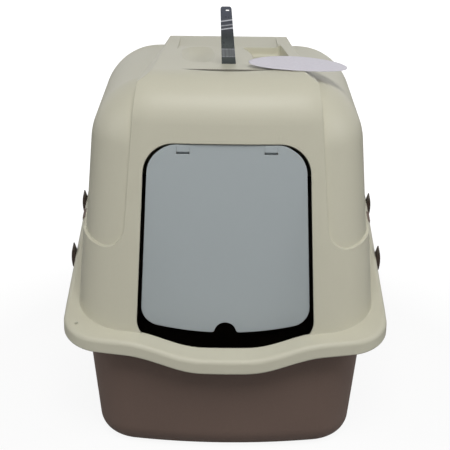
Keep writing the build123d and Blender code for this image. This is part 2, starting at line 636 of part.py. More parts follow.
def build_door():
    front = HINGE_Y - DOOR_SETBACK
    outline = entry_outline(DOOR_GAP_SIDE, DOOR_GAP_TOP, DOOR_GAP_FOOT)
    low = ENTRY_BOTTOM + DOOR_GAP_FOOT
    outline -= Pos(0, low) * Circle(NOTCH_RADIUS)
    mouth = [v for v in outline.vertices() if abs(v.X) < 2 * NOTCH_RADIUS and v.Y < low + 10]
    outline = fillet(mouth, 4.0)
    slot_top = HINGE_HEIGHT + 0.5
    for place in (-HOOK_PLACE, HOOK_PLACE):
        outline -= Pos(place, slot_top - SLOT_HEIGHT / 2) * Rectangle(HOOK_WIDTH + 2, SLOT_HEIGHT)
    door = extrude(upright(outline, front), DOOR_THICK, dir=(0, 1, 0))
    pad_top = ENTRY_TOP - DOOR_GAP_TOP - 0.5
    outer = HINGE_PIN_RADIUS + HINGE_FIT + HOOK_WALL
    for place in (-HOOK_PLACE, HOOK_PLACE):
        pad = Pos(place, front - PAD_PROUD / 2, (pad_top + slot_top) / 2)
        door += pad * Box(HOOK_WIDTH + 1, PAD_PROUD, pad_top - slot_top)
        eye = Pos(place, HINGE_Y, HINGE_HEIGHT) * Rot(0, 90, 0)
        web_depth = HINGE_Y - front - DOOR_THICK
        web = Pos(place, front + DOOR_THICK + web_depth / 2, HINGE_HEIGHT + outer / 2 + 0.5)
        door += web * Box(HOOK_WIDTH, web_depth, outer - 1.0)
        door += eye * Cylinder(outer, HOOK_WIDTH)
        door -= eye * Cylinder(HINGE_PIN_RADIUS + HINGE_FIT, 2 * HOOK_WIDTH)
        mouth = Pos(place, HINGE_Y, HINGE_HEIGHT) * Rot(-35, 0, 0) * Pos(0, outer, 0)
        door -= mouth * Box(2 * HOOK_WIDTH, 2 * outer, 1.6 * HINGE_PIN_RADIUS)
    return door


def in_roof(x, y, z):
    return ROOF.location * Pos(x, y, z)


def build_tray():
    length = TRAY_REAR - TRAY_FRONT
    middle = (TRAY_REAR + TRAY_FRONT) / 2
    centre = in_roof(0, middle, -TRAY_TOP - TRAY_HEIGHT / 2)
    tray = centre * Box(2 * TRAY_HALF, length, TRAY_HEIGHT)
    room = centre * Pos(0, 0, TRAY_WALL)
    tray -= room * Box(2 * (TRAY_HALF - TRAY_WALL), length - 2 * TRAY_WALL, TRAY_HEIGHT)
    count = int((2 * TRAY_HALF - 4 * TRAY_WALL) / TRAY_PITCH)
    for index in range(count):
        across = (index - (count - 1) / 2) * TRAY_PITCH
        tray -= centre * Pos(across, 0, 0) * Box(TRAY_SLOT, length - 8 * TRAY_WALL, 3 * TRAY_HEIGHT)
    reach = TRAY_HALF + LUG_GAP + LUG_THICK
    root = TRAY_HALF - TRAY_WALL
    for side in (-1, 1):
        pin = in_roof(side * (root + reach) / 2, TRAY_PIVOT_Y, -TRAY_PIVOT) * Rot(0, 90, 0)
        tray += pin * Cylinder(TRAY_PIN_RADIUS, reach - root)
    return tray


def build_filter():
    length = TRAY_REAR - TRAY_FRONT - 2 * (TRAY_WALL + LAY_GAP)
    width = 2 * (TRAY_HALF - TRAY_WALL - LAY_GAP)
    middle = (TRAY_REAR + TRAY_FRONT) / 2
    height = -TRAY_TOP - TRAY_HEIGHT + TRAY_WALL + LAY_GAP + FILTER_THICK / 2
    return in_roof(0, middle, height) * Box(width, length, FILTER_THICK)


STRAP_PIVOT = roof_point(STRAP_PLACE, PANEL_DEPTH)


def build_strap():
    """Flat strap that narrows to a rounded tip with a hole, and leans to the left."""
    foot = STRAP_FOOT_WIDTH / 2
    tip = STRAP_TIP_WIDTH / 2
    lean = -STRAP_LEAN
    outline = Polyline((-foot, 0), (foot, 0), (lean + tip, STRAP_LENGTH),
                       (lean - tip, STRAP_LENGTH), close=True)
    face = make_face(outline)
    face = fillet(face.vertices().group_by(Axis.Y)[-1], tip * 0.55)
    face -= Pos(lean, STRAP_LENGTH - STRAP_HOLE_DROP) * SlotOverall(*STRAP_HOLE)
    strap = Pos(STRAP_MIDDLE, 0, STRAP_PIVOT) * upright(face, STRAP_PLACE)
    strap = extrude(strap, STRAP_THICK / 2, dir=(0, 1, 0), both=True)
    knuckle = Pos(STRAP_MIDDLE, STRAP_PLACE, STRAP_PIVOT) * Rot(0, 90, 0)
    return strap + knuckle * Cylinder(STRAP_THICK / 2, STRAP_FOOT_WIDTH)


def build_anchor():
    """Toggle under the roof, with a neck that reaches up to the strap."""
    top = STRAP_PIVOT - WALL - LAY_GAP
    plate = Pos(STRAP_MIDDLE, STRAP_PLACE, top - ANCHOR_HEIGHT / 2)
    neck_height = STRAP_PIVOT - STRAP_THICK / 2 - LAY_GAP - top
    neck = Pos(STRAP_MIDDLE, STRAP_PLACE, top + neck_height / 2)
    toggle = plate * Box(2 * (STRAP_SLOT_HALF + ANCHOR_OVERLAP), ANCHOR_DEPTH, ANCHOR_HEIGHT)
    return toggle + neck * Box(ANCHOR_NECK[0], ANCHOR_NECK[1], neck_height)


def build_tag():
    """Bare oval card: it rests on the saddle's edge, rolled a little to the right."""
    card = Pos(0, TAG_WIDTH / 2, 0) * extrude(Ellipse(TAG_LENGTH / 2, TAG_WIDTH / 2), TAG_THICK)
    place = in_roof(TAG_PIVOT, TAG_FRONT, LAY_GAP) * Rot(TAG_TILT, TAG_ROLL, 0)
    return place * Pos(TAG_MIDDLE - TAG_PIVOT, 0, 0) * card


def write(shape, name):
    export_step(shape, f"parts/{name}.step")
    print(name, len(shape.solids()), "solid", round(shape.volume / 1000.0, 1), "cm3")


write(build_hood(), "hood")
write(build_pan(), "base_pan")
write(build_door(), "swing_door")
for place, along in CLIP_PLACES.items():
    for name, side in (("left", -1), ("right", 1)):
        write(build_clip(along, side), f"clip_{place}_{name}")
write(build_tray(), "filter_tray")
write(build_filter(), "filter_pad")
write(build_strap(), "lift_strap")
write(build_anchor(), "strap_anchor")
write(build_tag(), "swing_tag")

print("door hinge axis: y, z", HINGE_Y, HINGE_HEIGHT)
tray_pivot = (ROOF.location * Pos(0, TRAY_PIVOT_Y, -TRAY_PIVOT)).position
print("tray hinge axis: y, z", tray_pivot.Y, tray_pivot.Z)
print("strap hinge: x, y, z", STRAP_MIDDLE, STRAP_PLACE, STRAP_PIVOT)
for place, along in CLIP_PLACES.items():
    for name, side in (("left", -1), ("right", 1)):
        frame = side_plane(along, side)
        pivot = (frame.location * Pos(CLIP_PIVOT_OUT, -CLIP_PIVOT_DROP, 0)).position
        print("clip axis", place, name, pivot, frame.z_dir)
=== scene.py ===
# %% [markdown]
# # A hooded litter box, dressed for its portrait
# The solids come from a CAD model, already in metres and already in place. This
# lesson gives them their moulded-plastic skins, replaces the few soft or thin
# pieces by finer meshes, and sets up the camera, the lamps and the floor.
# Loading comes first, because every later step measures itself on the solids.

import bmesh
import bpy
import numpy as np
from math import radians
from mathutils import Matrix, Vector


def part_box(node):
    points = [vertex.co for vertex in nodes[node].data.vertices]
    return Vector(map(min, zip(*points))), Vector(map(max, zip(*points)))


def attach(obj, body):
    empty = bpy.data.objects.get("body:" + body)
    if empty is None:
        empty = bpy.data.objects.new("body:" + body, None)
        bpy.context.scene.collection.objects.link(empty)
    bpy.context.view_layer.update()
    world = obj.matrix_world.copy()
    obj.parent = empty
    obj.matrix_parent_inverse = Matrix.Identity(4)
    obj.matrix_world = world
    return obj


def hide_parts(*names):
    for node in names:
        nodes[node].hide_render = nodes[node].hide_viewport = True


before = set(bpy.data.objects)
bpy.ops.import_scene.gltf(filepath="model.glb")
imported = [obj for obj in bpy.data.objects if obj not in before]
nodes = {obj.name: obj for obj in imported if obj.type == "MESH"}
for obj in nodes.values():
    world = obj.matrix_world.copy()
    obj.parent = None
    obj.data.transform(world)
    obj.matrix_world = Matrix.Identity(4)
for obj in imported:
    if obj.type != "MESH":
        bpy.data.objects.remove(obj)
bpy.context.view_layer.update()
scene = bpy.context.scene

# %% [markdown]
# ## Camera
# A product photograph is taken from well back with a long lens, so that the box
# keeps its proportions. The camera stands a metre and a half in front of the box
# and a little above it, and looks down at it. The real camera was not quite
# level, so this one is rolled by a little over half a degree as well.

# %% Camera
FRAME_PIXELS = 450
LENS_PIXELS = 1200.0
SENSOR = 36.0
CAMERA_PLACE = (0.0, -1.522, 0.7264)
LOOK_DOWN = 18.5
ROLL = 0.63
CENTRE_SHIFT = 1.3

camera_data = bpy.data.cameras.new("camera")
camera_data.sensor_width = SENSOR
camera_data.lens = SENSOR * LENS_PIXELS / FRAME_PIXELS
camera_data.shift_x = -CENTRE_SHIFT / FRAME_PIXELS
camera = bpy.data.objects.new("camera", camera_data)
scene.collection.objects.link(camera)
camera.matrix_world = (Matrix.Translation(CAMERA_PLACE)
                       @ Matrix.Rotation(radians(90.0 - LOOK_DOWN), 4, "X")
                       @ Matrix.Rotation(radians(ROLL), 4, "Z"))
scene.camera = camera
print("lens in mm", camera_data.lens)

# %% [markdown]
# ## Helpers for colours and nodes
# Colours are easiest to read as the 0 to 255 values of a colour picker, while
# shaders want linear light. One helper converts them, and four more keep the node
# graphs short enough to read: they make a node and set its inputs, do one sum,
# and open an empty material or an empty node group.

# %% Colour and node helpers
def linear(red, green, blue):
    """Picker values to linear light: ((c + 0.055) / 1.055) ** 2.4, and c / 12.92 when dark."""
    c = np.array([red, green, blue]) / 255.0
    light = np.where(c > 0.04045, ((c + 0.055) / 1.055) ** 2.4, c / 12.92)
    return (*light.tolist(), 1.0)


def add(tree, kind, inputs=None, **settings):
    """A node of a kind, with its settings and with the inputs set or linked."""
    node = tree.nodes.new(kind)
    for name, value in settings.items():
        setattr(node, name, value)
    for name, value in (inputs or {}).items():
        if isinstance(value, bpy.types.NodeSocket):
            tree.links.new(value, node.inputs[name])
        else:
            node.inputs[name].default_value = value
    return node


def blank_material(name):
    """A material with nothing but its output node."""
    material = bpy.data.materials.new(name)
    material.use_nodes = True
    material.node_tree.nodes.clear()
    return material, material.node_tree


def new_group(name, inputs, outputs):
    """A shader node group with named number inputs, and outputs given as name and kind."""
    group = bpy.data.node_groups.new(name, "ShaderNodeTree")
    for label, value in inputs.items():
        kind = "NodeSocketColor" if isinstance(value, tuple) else "NodeSocketFloat"
        socket = group.interface.new_socket(label, in_out="INPUT", socket_type=kind)
        socket.default_value = value
    for label, kind in outputs.items():
        group.interface.new_socket(label, in_out="OUTPUT", socket_type=kind)
    return group, group.nodes.new("NodeGroupInput"), group.nodes.new("NodeGroupOutput")


def math(tree, operation, first, second=0.0, clamp=False):
    """One arithmetic node; its result socket."""
    return add(tree, "ShaderNodeMath", {0: first, 1: second}, operation=operation,
               use_clamp=clamp).outputs[0]


print("a mid grey is", linear(128, 128, 128))

# %% [markdown]
# ## Moulded skin
# Every hard part of the box is injection moulded. Such a skin has three things
# that a flat colour lacks: a fine spark-eroded grain from the steel tool, a slow
# mottling where the melt flowed, and edges that are never quite sharp and that
# catch the light, which is painted on them as a paler colour. One node group makes
# all three, and each plastic places it with its own values. The rounding comes from
# the Bevel node, which averages the surface's direction over a small radius, and the
# painted edge highlight is simply where that average differs from the true direction.

# %% Node group: moulded skin
SPECK_SHARE = 0.6
# How strongly the painted edge highlight rises where the rounded and true directions differ.
EDGE_HIGHLIGHT_GAIN = 2.0
DULL_SHARE = 0.12
GRAIN_DEPTH = 0.0002


def build_moulded_skin():
    """Colour, roughness and normal of a moulded face, from its own colours and values."""
    tree, given, made = new_group(
        "moulded_skin",
        {"Colour": (0.8, 0.8, 0.8, 1.0), "Edge Highlight Colour": (0.9, 0.9, 0.9, 1.0),
         "Grain Scale": 1500.0, "Grain Height": 0.5, "Mottle": 0.03, "Edge Radius": 0.001,
         "Roughness": 0.4},
        {"Colour": "NodeSocketColor", "Roughness": "NodeSocketFloat",
         "Normal": "NodeSocketVector"})
    give = given.outputs
    place = add(tree, "ShaderNodeTexCoord").outputs["Object"]
    rounded = add(tree, "ShaderNodeBevel", {"Radius": give["Edge Radius"]}, samples=6)
    true_normal = add(tree, "ShaderNodeNewGeometry").outputs["Normal"]
    agree = add(tree, "ShaderNodeVectorMath",
                {0: rounded.outputs[0], 1: true_normal}, operation="DOT_PRODUCT")
    edge = math(tree, "SUBTRACT", 1.0, agree.outputs["Value"], clamp=True)
    flow = add(tree, "ShaderNodeTexNoise", {"Vector": place, "Scale": 9.0, "Detail": 3.0})
    speck = add(tree, "ShaderNodeTexNoise", {"Vector": place, "Scale": 420.0, "Detail": 2.0})
    grain = add(tree, "ShaderNodeTexNoise",
                {"Vector": place, "Scale": give["Grain Scale"], "Detail": 1.5})
    slow = math(tree, "SUBTRACT", flow.outputs["Fac"], 0.5)
    fine = math(tree, "SUBTRACT", speck.outputs["Fac"], 0.5)
    both = math(tree, "ADD", slow, math(tree, "MULTIPLY", fine, SPECK_SHARE))
    shade = math(tree, "ADD", 1.0, math(tree, "MULTIPLY", both, give["Mottle"]))
    toned = add(tree, "ShaderNodeVectorMath", {0: give["Colour"], "Scale": shade},
                operation="SCALE")
    # Painted highlight: the edge mask mixes the colour towards the paler highlight colour.
    edge_highlight = math(tree, "MULTIPLY", edge, EDGE_HIGHLIGHT_GAIN, clamp=True)
    mixed = add(tree, "ShaderNodeMix", {"Factor": edge_highlight}, data_type="RGBA")
    tree.links.new(toned.outputs[0], mixed.inputs[6])
    tree.links.new(give["Edge Highlight Colour"], mixed.inputs[7])
    dull = math(tree, "MULTIPLY", slow, DULL_SHARE)
    rough = math(tree, "ADD", give["Roughness"], dull, clamp=True)
    bump = add(tree, "ShaderNodeBump",
               {"Height": grain.outputs["Fac"], "Strength": give["Grain Height"],
                "Distance": GRAIN_DEPTH, "Normal": rounded.outputs[0]})
    tree.links.new(mixed.outputs[2], made.inputs["Colour"])
    tree.links.new(rough, made.inputs["Roughness"])
    tree.links.new(bump.outputs[0], made.inputs["Normal"])
    return tree


MOULDED_SKIN = build_moulded_skin()
print("moulded skin has", len(MOULDED_SKIN.nodes), "nodes")

# %% [markdown]
# ## The plastics
# The hood, the pan, the clips and the door are four plastics that differ in
# colour, gloss and grain. The hood is a warm cream with a satin face. The pan is
# a mauve brown with a coarser, duller grain, and the clips are a darker brown.
# The door is a smooth cool grey. Each material is one Principled BSDF fed by the
# shared skin. The hood has a copy of the cream with painted shade at the vent.

# %% Plastics
PLASTIC_IOR = 1.49
PLASTIC_SPECULAR = 0.3
VENT_CUT = (0.0, -0.1470, 0.4548)
VENT_REACH = (0.0560, 0.0007, 0.0016)
# Painted shade on the vent's cut edge: its dark grey, its least share, and how much the noise
# adds.
VENT_SHADE_COLOUR = (70, 66, 60)
VENT_SHADE_LEAST = 0.55
VENT_SHADE_CLOUD = 0.3


def plastic(name, colour, rubbed, grain_scale, grain_height, mottle, edge, roughness):
    """A moulded plastic: the shared skin into one Principled BSDF."""
    material, tree = blank_material(name)
    skin = add(tree, "ShaderNodeGroup", node_tree=MOULDED_SKIN)
    values = {"Colour": linear(*colour), "Edge Highlight Colour": linear(*rubbed),
              "Grain Scale": grain_scale, "Grain Height": grain_height, "Mottle": mottle,
              "Edge Radius": edge, "Roughness": roughness}
    for label, value in values.items():
        skin.inputs[label].default_value = value
    surface = add(tree, "ShaderNodeBsdfPrincipled",
                  {"Base Color": skin.outputs["Colour"], "Roughness": skin.outputs["Roughness"],
                   "Normal": skin.outputs["Normal"], "IOR": PLASTIC_IOR,
                   "Specular IOR Level": PLASTIC_SPECULAR})
    add(tree, "ShaderNodeOutputMaterial", {"Surface": surface.outputs[0]})
    return material


def vent_shaded(material):
    """A copy of a plastic with painted shade on the vent's cut edge, where the slot's wall lies
    in shade.
    """
    material = material.copy()
    material.name = "cream_hood"
    tree = material.node_tree
    surface = tree.nodes["Principled BSDF"]
    clean = surface.inputs["Base Color"].links[0].from_socket
    place = add(tree, "ShaderNodeTexCoord").outputs["Object"]
    split = add(tree, "ShaderNodeSeparateXYZ", {"Vector": place})
    near = 1.0
    for axis, middle, reach in zip("XYZ", VENT_CUT, VENT_REACH):
        gap = math(tree, "ABSOLUTE", math(tree, "SUBTRACT", split.outputs[axis], middle))
        near = math(tree, "MULTIPLY", near, math(tree, "LESS_THAN", gap, reach))
    cloud = add(tree, "ShaderNodeTexNoise", {"Vector": place, "Scale": 60.0, "Detail": 3.0})
    # Painted shade: the vent's cut edge is mixed towards a dark grey, unevenly by the noise.
    amount = math(tree, "ADD", VENT_SHADE_LEAST,
                  math(tree, "MULTIPLY", cloud.outputs["Fac"], VENT_SHADE_CLOUD))
    amount = math(tree, "MULTIPLY", amount, near, clamp=True)
    shade_mix = add(tree, "ShaderNodeMix", {"Factor": amount}, data_type="RGBA")
    shade_mix.inputs[7].default_value = linear(*VENT_SHADE_COLOUR)
    tree.links.new(clean, shade_mix.inputs[6])
    tree.links.new(shade_mix.outputs[2], surface.inputs["Base Color"])
    return material


# The second colour of each plastic is its painted edge highlight.
CREAM = plastic("cream_plastic", (202, 199, 180), (212, 209, 192), 1400.0, 0.25, 0.05,
                0.0018, 0.42)
BROWN = plastic("brown_plastic", (112, 94, 85), (134, 116, 106), 900.0, 0.6, 0.16,
                0.0012, 0.5)
DARK_BROWN = plastic("clip_plastic", (70, 58, 52), (96, 82, 74), 900.0, 0.5, 0.12,
                     0.0008, 0.42)
GREY = plastic("door_plastic", (176, 184, 186), (196, 202, 203), 1600.0, 0.15, 0.03,
               0.0008, 0.45)

# The hood takes the copy with painted shade at the vent.
for node, material in {
        "hood": vent_shaded(CREAM), "strap_anchor": CREAM, "filter_tray": CREAM, "base_pan": BROWN,
        "clip_front_left": DARK_BROWN, "clip_front_right": DARK_BROWN,
        "clip_rear_left": DARK_BROWN, "clip_rear_right": DARK_BROWN}.items():
    nodes[node].data.materials.clear()
    nodes[node].data.materials.append(material)
print("plastics on the solids")

# %% [markdown]
# ## Meshes from arrays
# The filter pad, the strap and the card are surfaces worked out with numpy. A
# surface is a grid of points, computed as whole arrays. One helper turns such a
# grid into a mesh, closes it round if its columns meet, and puts a lid on the
# ends that need one.

# %% Grid to mesh
BOTH_ENDS = (True, True)
FIRST_END = (True, False)


def grid_object(name, points, closed_round, lids, material):
    """points has shape (rows, columns, 3). Each cell of the grid becomes one quad, and
    a lid is one many-sided face over the first or the last row, where lids asks for it."""
    rows, columns = points.shape[:2]
    index = np.arange(rows * columns).reshape(rows, columns)
    here = index if closed_round else index[:, :-1]
    beside = np.roll(index, -1, axis=1) if closed_round else index[:, 1:]
    quads = np.stack([here[:-1], beside[:-1], beside[1:], here[1:]], axis=-1).reshape(-1, 4)
    faces = quads.tolist()
    if lids[0]:
        faces.append(index[0][::-1].tolist())
    if lids[1]:
        faces.append(index[-1].tolist())
    mesh = bpy.data.meshes.new(name)
    mesh.from_pydata(points.reshape(-1, 3).tolist(), [], faces)
    mesh.materials.append(material)
    mesh.validate()
    item = bpy.data.objects.new(name, mesh)
    scene.collection.objects.link(item)
    return item


def smooth(item, angle=35.0):
    """Smooth shading, with creases kept where faces meet at more than the angle."""
    item.data.polygons.foreach_set("use_smooth", np.ones(len(item.data.polygons), bool))
    item.data.set_sharp_from_angle(angle=radians(angle))


print("grid helper ready")

# %% [markdown]
# ## Swing door
# The door hangs so that its top edge nearly meets the top of the entry. The solid
# keeps a wide gap there, so its plate is copied, and everything in it above the
# hinge is drawn upwards by a share that grows from nothing to the full lift. Its
# hooks behind the plate stay as they are.

# %% Swing door
DOOR_BACK = -0.2083
LIFT_FROM = 0.3746
DOOR_LIFT = 0.0016
MERGE_WITHIN = 1e-6


def raised_door():
    """The CAD door with its doubles merged. A point of the plate at height z rises by
    DOOR_LIFT times the square of (z - LIFT_FROM) / (top - LIFT_FROM), and by nothing
    below LIFT_FROM."""
    shape = bmesh.new()
    shape.from_mesh(nodes["swing_door"].data)
    bmesh.ops.remove_doubles(shape, verts=shape.verts, dist=MERGE_WITHIN)
    points = np.array([vertex.co[:] for vertex in shape.verts])
    faces = [[vertex.index for vertex in face.verts] for face in shape.faces]
    shape.free()
    height = points[:, 2]
    share = np.clip((height - LIFT_FROM) / (height.max() - LIFT_FROM), 0.0, 1.0)
    points[:, 2] = height + DOOR_LIFT * share ** 2 * (points[:, 1] < DOOR_BACK)
    mesh = bpy.data.meshes.new("door_plate")
    mesh.from_pydata(points.tolist(), [], faces)
    mesh.materials.append(GREY)
    item = bpy.data.objects.new("door_plate", mesh)
    scene.collection.objects.link(item)
    return item


door = raised_door()
smooth(door)
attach(door, "door")
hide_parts("swing_door")
print("door faces", len(door.data.polygons))

# %% [markdown]
# ## Filter pad
# Under the crescent vent lies a slab of black carbon foam. It is cut from a
# sheet, so its faces are flat and its edges only slightly rounded, and its
# surface is open pores. A rounded box is a stack of rounded rectangles: the ones
# near the top and the bottom are drawn in along a quarter circle.

# %% Filter pad
ROOF_PITCH = radians(2.5)
PAD_HALF = (0.0614, 0.0305, 0.0039)
PAD_CORNER = 0.002
PAD_EDGE = 0.0012
PAD_ARC_STEPS = 5


def rounded_rectangle(half_x, half_y, corner, steps):
    """Points round a rectangle: each quarter is an arc about the corner's centre, at
    (half - corner), plus corner times (cos, sin) of its angle."""
    turn = np.linspace(0.0, np.pi / 2, steps)
    quarter = np.stack([np.cos(turn), np.sin(turn)], axis=-1) * corner
    centre = np.array([half_x - corner, half_y - corner])
    sides = []
    for sign_x, sign_y, flip in ((1, 1, False), (-1, 1, True), (-1, -1, False), (1, -1, True)):
        arc = (quarter + centre) * (sign_x, sign_y)
        sides.append(arc[::-1] if flip else arc)
    return np.concatenate(sides)


def slab(half_x, half_y, half_z, corner, edge, steps=6):
    """Rounded box about the origin: rows follow a quarter circle of the edge's radius."""
    turn = np.linspace(0.0, np.pi / 2, steps)
    inset = edge * (1.0 - np.sin(turn))
    height = half_z - edge + edge * np.cos(turn)
    inset = np.concatenate([inset, inset[::-1]])
    height = np.concatenate([height, -height[::-1]])
    rings = [rounded_rectangle(half_x - i, half_y - i, corner, PAD_ARC_STEPS) for i in inset]
    flat = np.stack(rings)
    return np.concatenate([flat, np.broadcast_to(height[:, None, None],
                                                 (*flat.shape[:2], 1))], axis=-1)[::-1]


def foam_material():
    """Black open-celled foam: dark pores between paler walls, with no gloss."""
    material, tree = blank_material("carbon_foam")
    place = add(tree, "ShaderNodeTexCoord").outputs["Object"]
    cells = add(tree, "ShaderNodeTexVoronoi", {"Vector": place, "Scale": 520.0})
    wall = add(tree, "ShaderNodeValToRGB", {"Fac": cells.outputs["Distance"]})
    wall.color_ramp.elements[0].color = linear(52, 52, 54)
    wall.color_ramp.elements[1].color = linear(18, 18, 19)
    bump = add(tree, "ShaderNodeBump", {"Height": cells.outputs["Distance"],
                                        "Strength": 0.8, "Distance": 0.0008}, invert=True)
    surface = add(tree, "ShaderNodeBsdfPrincipled",
                  {"Base Color": wall.outputs["Color"], "Roughness": 0.95,
                   "Normal": bump.outputs[0]})
    add(tree, "ShaderNodeOutputMaterial", {"Surface": surface.outputs[0]})
    return material


pad_low, pad_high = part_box("filter_pad")
pad_centre = np.array([(a + b) / 2 for a, b in zip(pad_low, pad_high)])
pad_points = slab(*PAD_HALF, corner=PAD_CORNER, edge=PAD_EDGE)
tilt = np.array(Matrix.Rotation(-ROOF_PITCH, 3, "X"))
pad = grid_object("filter_pad_foam", pad_points @ tilt.T + pad_centre, True, BOTH_ENDS,
                  foam_material())
smooth(pad)
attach(pad, "tray")
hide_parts("filter_pad")
print("pad centre", pad_centre)

# %% [markdown]
# ## Lift strap
# A flat strap stands up out of the slot in the roof. It is a folded band of dark
# slate plastic: it narrows towards its tip, leans a little to the left, has a
# punched hole near the tip and three raised creases below it, where the end is
# folded over. The band is a rounded rectangle carried up a straight, leaning line.

# %% Lift strap
STRAP_FOOT = np.array([0.0010, -0.092, 0.4500])
STRAP_TALL = 0.0708
STRAP_HALF_FOOT = 0.0086
STRAP_HALF_TIP = 0.0065
STRAP_LEAN = 0.0043
STRAP_HALF_THICK = 0.0009
HIGHEST_CREASE = 0.00035
CREASES = ((0.0546, HIGHEST_CREASE), (0.0490, 0.00020), (0.0449, HIGHEST_CREASE))
CREASE_SLANT = -0.14
CREASE_WIDTH = 0.0006
# Painted glints on the creases: their width, near-white colour and least share under the noise.
GLINT_EDGE = 0.0009
GLINT_CORE = 0.0004
GLINT_WHITE = (214, 216, 224)
GLINT_LEAST = 0.45
STRAP_ROUGH = (0.22, 0.15)
# Painted reflection on a clear film patch: its heights, bright rim, shares and streaks.
FILM_PATCH = (0.0108, 0.0208)
FILM_RIM = 0.0014
FILM_GLINT_SHARE = (0.16, 0.42)
FILM_STREAKS = (420.0, 1.0, 60.0)
STREAK_GAIN = 2.0
# Painted shade and light up the strap, as colours by height.
STRAP_TONES = ((0.0, (66, 72, 73)), (0.0255, (71, 77, 78)), (0.0350, (50, 55, 57)),
               (0.0440, (62, 65, 72)), (0.0640, (78, 82, 94)))
TIP_CORNER = 0.0035
TIP_SHARE = 0.6
SECTION_CORNER = 0.5
HOLE_PLACE = np.array([-0.0024, 0.0, 0.0664])
HOLE_HALF = (0.0021, 0.0007)
ROUND_END = 0.95
STRAP_ARC_STEPS = 6


def strap_points(rows=180):
    """Section: rounded rectangle, half width w(s) and half thickness t(s), with s from 0 at
    the foot to 1 at the tip. Along the strap, w runs straight from foot to tip and closes
    round at the tip's corners, the middle line leans by STRAP_LEAN times s, and each crease
    adds a narrow bell curve to t."""
    along = np.linspace(0.0, 1.0, rows)
    height = along * STRAP_TALL
    half = STRAP_HALF_FOOT + (STRAP_HALF_TIP - STRAP_HALF_FOOT) * along
    into = np.clip(TIP_CORNER - (STRAP_TALL - height), 0.0, TIP_CORNER)
    half = half - (TIP_CORNER - np.sqrt(TIP_CORNER ** 2 - into ** 2)) * TIP_SHARE
    section = rounded_rectangle(1.0, 1.0, SECTION_CORNER, STRAP_ARC_STEPS)
    x = section[None, :, 0] * half[:, None]
    slanted = height[:, None] + CREASE_SLANT * x
    swell = sum(h * np.exp(-((slanted - c) / CREASE_WIDTH) ** 2) for c, h in CREASES)
    y = section[None, :, 1] * (STRAP_HALF_THICK + swell)
    lean = -STRAP_LEAN * along
    return STRAP_FOOT + np.stack([x + lean[:, None], y,
                                  np.broadcast_to(height[:, None], x.shape)], axis=-1)


def strap_material():
    """Slate film: glossy, with painted shade and light up the strap where the band bows to and
    from the light, and painted near-white glints on its creases and on a clear film patch."""
    material, tree = blank_material("strap_film")
    place = add(tree, "ShaderNodeTexCoord").outputs["Object"]
    split = add(tree, "ShaderNodeSeparateXYZ", {"Vector": place})
    x, z = split.outputs["X"], split.outputs["Z"]
    slanted = math(tree, "ADD", z, math(tree, "MULTIPLY", x, CREASE_SLANT))
    rise = add(tree, "ShaderNodeMapRange", {"Value": z, "From Min": STRAP_FOOT[2],
                                            "From Max": STRAP_FOOT[2] + STRAP_TALL})
    tones = add(tree, "ShaderNodeValToRGB", {"Fac": rise.outputs[0]})
    stops = tones.color_ramp.elements
    for number, (height, tone) in enumerate(STRAP_TONES):
        share_up = height / STRAP_TALL
        stop = stops[number] if number < len(stops) else stops.new(share_up)
        stop.position = share_up
        stop.color = linear(*tone)
    # Painted glints: each crease is mixed towards near white.
    rubbed = None
    for centre, swell in CREASES:
        gap = math(tree, "ABSOLUTE", math(tree, "SUBTRACT", slanted, centre + STRAP_FOOT[2]))
        line = add(tree, "ShaderNodeMapRange",
                   {"Value": gap, "From Min": GLINT_EDGE, "From Max": GLINT_CORE,
                    "To Max": swell / HIGHEST_CREASE}).outputs[0]
        rubbed = line if rubbed is None else math(tree, "MAXIMUM", rubbed, line)
    scuff_and_glint = add(tree, "ShaderNodeTexNoise", {"Vector": place, "Scale": 300.0, "Detail": 4.0})
    rubbed = math(tree, "MULTIPLY", rubbed,
                  math(tree, "ADD", GLINT_LEAST, scuff_and_glint.outputs["Fac"]), clamp=True)
    # Painted reflection: a band of heights on the film patch, brightest at its rim, with
    # streaks.
    low, high = (value + STRAP_FOOT[2] for value in FILM_PATCH)
    inside = math(tree, "MULTIPLY", math(tree, "GREATER_THAN", z, low),
                  math(tree, "LESS_THAN", z, high))
    rim = math(tree, "ABSOLUTE", math(tree, "SUBTRACT", z, (low + high) / 2))
    rim = add(tree, "ShaderNodeMapRange",
              {"Value": rim, "From Min": (high - low) / 2 - FILM_RIM,
               "From Max": (high - low) / 2, "To Min": FILM_GLINT_SHARE[0],
               "To Max": FILM_GLINT_SHARE[1]}).outputs[0]
    streak = add(tree, "ShaderNodeMapping", {"Vector": place, "Scale": FILM_STREAKS})
    streak = add(tree, "ShaderNodeTexNoise", {"Vector": streak.outputs[0], "Scale": 1.0,
                                              "Detail": 3.0})
    film_glint = math(tree, "MULTIPLY", math(tree, "MULTIPLY", rim, inside),
                math(tree, "MULTIPLY", streak.outputs["Fac"], STREAK_GAIN))
    rubbed = math(tree, "MAXIMUM", rubbed, film_glint)
    colour = add(tree, "ShaderNodeMix", {"Factor": rubbed}, data_type="RGBA")
    tree.links.new(tones.outputs["Color"], colour.inputs[6])
    colour.inputs[7].default_value = linear(*GLINT_WHITE)
    rough = math(tree, "ADD", STRAP_ROUGH[0],
                 math(tree, "MULTIPLY", scuff_and_glint.outputs["Fac"], STRAP_ROUGH[1]))
    bump = add(tree, "ShaderNodeBump", {"Height": scuff_and_glint.outputs["Fac"], "Strength": 0.25,
                                        "Distance": 0.0002})
    surface = add(tree, "ShaderNodeBsdfPrincipled",
                  {"Base Color": colour.outputs[2], "Roughness": rough,
                   "Normal": bump.outputs[0]})
    add(tree, "ShaderNodeOutputMaterial", {"Surface": surface.outputs[0]})
    return material


